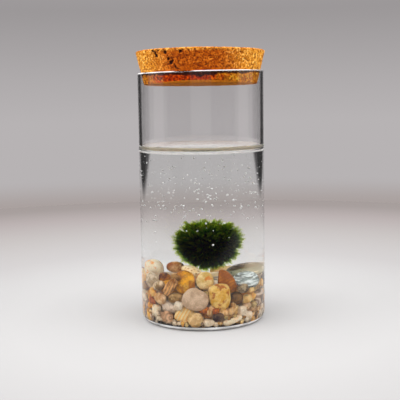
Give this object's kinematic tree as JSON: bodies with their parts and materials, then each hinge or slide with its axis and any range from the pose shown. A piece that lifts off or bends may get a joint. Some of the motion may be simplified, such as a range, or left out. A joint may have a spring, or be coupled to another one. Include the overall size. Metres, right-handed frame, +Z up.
{
  "type": "marimo moss ball in a corked glass jar",
  "caption": "Round green marimo moss ball resting on mixed river pebbles in a clear glass cylinder jar of water, closed with a tapered cork stopper.",
  "frame": {"origin": "centre of the jar's flat base, on the surface that it stands on", "axes": "+Z up along the jar's axis, -Y towards the picture's front, +X to its right"},
  "size_m": [0.0662, 0.0662, 0.1397],
  "materials": {
    "clear_glass": "polished",
    "cork": "matte",
    "gravel": "satin",
    "milky_glass": "gloss",
    "moss": "matte",
    "nugget_glass": "polished",
    "stone_brown": "satin",
    "stone_cream": "satin",
    "stone_grey": "satin",
    "stone_honey": "satin",
    "stone_ochre": "satin",
    "stone_olive": "satin",
    "stone_pink": "satin",
    "stone_rust": "satin",
    "stone_slate": "satin",
    "stone_speckled": "satin",
    "stone_tan": "satin",
    "stone_white": "satin",
    "water": "polished"
  },
  "bodies": {
    "root": {"cork_stopper": "cork", "glass_jar": "clear_glass", "gravel_bed": "gravel", "moss_ball": "moss", "nugget_clear": "nugget_glass", "nugget_white": "milky_glass", "pebble_01": "stone_slate", "pebble_02": "stone_olive", "pebble_03": "stone_pink", "pebble_04": "stone_honey", "pebble_05": "stone_cream", "pebble_06": "stone_ochre", "pebble_07": "stone_slate", "pebble_08": "stone_cream", "pebble_09": "stone_honey", "pebble_10": "stone_white", "pebble_11": "stone_tan", "pebble_12": "stone_cream", "pebble_13": "stone_honey", "pebble_14": "stone_cream", "pebble_15": "stone_grey", "pebble_16": "stone_olive", "pebble_17": "stone_pink", "pebble_18": "stone_honey", "pebble_19": "stone_brown", "pebble_20": "stone_tan", "pebble_21": "stone_slate", "pebble_22": "stone_grey", "pebble_23": "stone_pink", "pebble_24": "stone_tan", "pebble_25": "stone_ochre", "pebble_26": "stone_cream", "pebble_27": "stone_rust", "pebble_28": "stone_slate", "pebble_29": "stone_tan", "pebble_30": "stone_rust", "pebble_31": "stone_speckled", "pebble_32": "stone_tan", "pebble_33": "stone_speckled", "pebble_34": "stone_brown", "pebble_35": "stone_cream", "pebble_36": "stone_grey", "pebble_37": "stone_speckled", "pebble_38": "stone_slate", "pebble_39": "stone_pink", "pebble_40": "stone_grey", "pebble_41": "stone_brown", "pebble_42": "stone_grey", "pebble_43": "stone_cream", "pebble_44": "stone_honey", "pebble_45": "stone_speckled", "pebble_46": "stone_brown", "pebble_47": "stone_cream", "pebble_48": "stone_rust", "pebble_49": "stone_honey", "pebble_50": "stone_white", "pebble_51": "stone_grey", "pebble_52": "stone_white", "pebble_53": "stone_speckled", "water": "water"}
  },
  "joints": []
}
